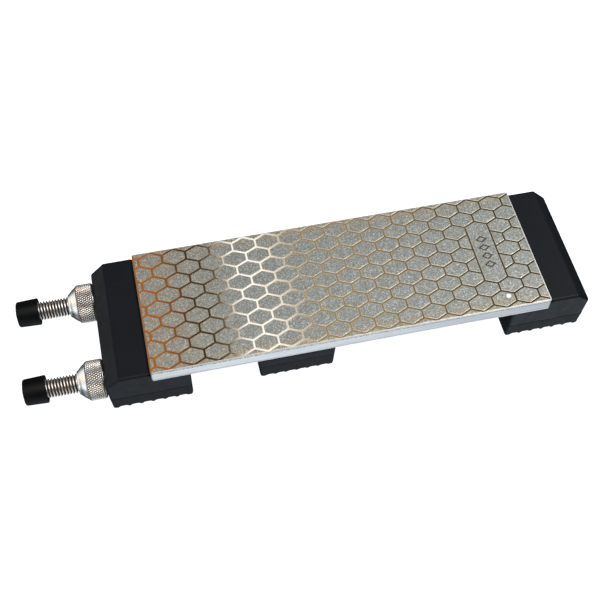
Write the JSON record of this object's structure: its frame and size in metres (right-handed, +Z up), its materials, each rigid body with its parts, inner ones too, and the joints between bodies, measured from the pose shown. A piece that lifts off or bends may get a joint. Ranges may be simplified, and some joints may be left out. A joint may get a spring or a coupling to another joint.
{
  "type": "sharpening stone holder",
  "caption": "Bench clamp for sharpening stones: a sliding jaw on threaded rods closes against a fixed jaw and grips a flat diamond plate with a hexagon-cell surface.",
  "frame": {"origin": "centre of the bounding box, on the surface that the three rubber feet stand on", "axes": "+X along the rods towards the fixed jaw, -X towards the knurled nuts and caps, -Y the front, +Z up"},
  "size_m": [0.2416, 0.06, 0.0264],
  "materials": {
    "stone_core": "brushed along the edge, cool blue-white",
    "diamond_coarse": "nickel-bonded grit in hexagon cells between bright bronze lines",
    "diamond_fine": "finer nickel-bonded grit in hexagon cells",
    "rod_steel": "bright rolled thread",
    "nut_chrome": "polished nose, diamond knurl on the grip",
    "cap_rubber": "satin black",
    "jaw_rubber": "matt black with a fine moulded grain",
    "sole_rubber": "matt black, ribbed underneath",
    "core_plastic": "glass-filled nylon",
    "bush_brass": "turned",
    "anchor_steel": "zinc plated"
  },
  "bodies": {
    "frame": {"fixed_jaw_cover": "jaw_rubber", "fixed_jaw_core": "core_plastic", "fixed_jaw_foot": "sole_rubber", "anchor_nut_front": "anchor_steel", "anchor_nut_rear": "anchor_steel", "guide_rod_front": "rod_steel", "guide_rod_rear": "rod_steel", "rod_end_cap_front": "cap_rubber", "rod_end_cap_rear": "cap_rubber"},
    "sliding_jaw": {"sliding_jaw_cover": "jaw_rubber", "sliding_jaw_core": "core_plastic", "sliding_jaw_foot": "sole_rubber", "thrust_bush_front": "bush_brass", "thrust_bush_rear": "bush_brass"},
    "nut_front": {"knurled_nut_front": "nut_chrome"},
    "nut_rear": {"knurled_nut_rear": "nut_chrome"},
    "center_support": {"center_support_body": "jaw_rubber", "center_support_foot": "sole_rubber"},
    "stone": {"stone_core": "stone_core", "diamond_sheet_coarse": "diamond_coarse", "diamond_sheet_fine": "diamond_fine"}
  },
  "joints": [
    {"name": "sliding_jaw_slide", "type": "slide", "parent": "frame", "child": "sliding_jaw", "axis": [-1, 0, 0], "range_m": [0, 0.0125]},
    {"name": "nut_rear_spin", "type": "hinge", "parent": "sliding_jaw", "child": "nut_rear", "pos_m": [-0.0925, 0.0194, 0.0115], "axis": [-1, 0, 0], "range_deg": [0, 3600]},
    {"name": "nut_front_spin", "type": "hinge", "parent": "sliding_jaw", "child": "nut_front", "pos_m": [-0.0925, -0.0194, 0.0115], "axis": [-1, 0, 0], "range_deg": [0, 3600]},
    {"name": "center_support_slide", "type": "slide", "parent": "frame", "child": "center_support", "axis": [1, 0, 0], "range_m": [-0.027, 0.076]},
    {"name": "stone_lift", "type": "slide", "parent": "frame", "child": "stone", "axis": [0, 0, 1], "range_m": [0, 0.03]}
  ],
  "couplings": [
    {"joint": "nut_rear_spin", "follows": "sliding_jaw_slide", "rad_per_m": 5026.5},
    {"joint": "nut_front_spin", "follows": "sliding_jaw_slide", "rad_per_m": 5026.5}
  ]
}
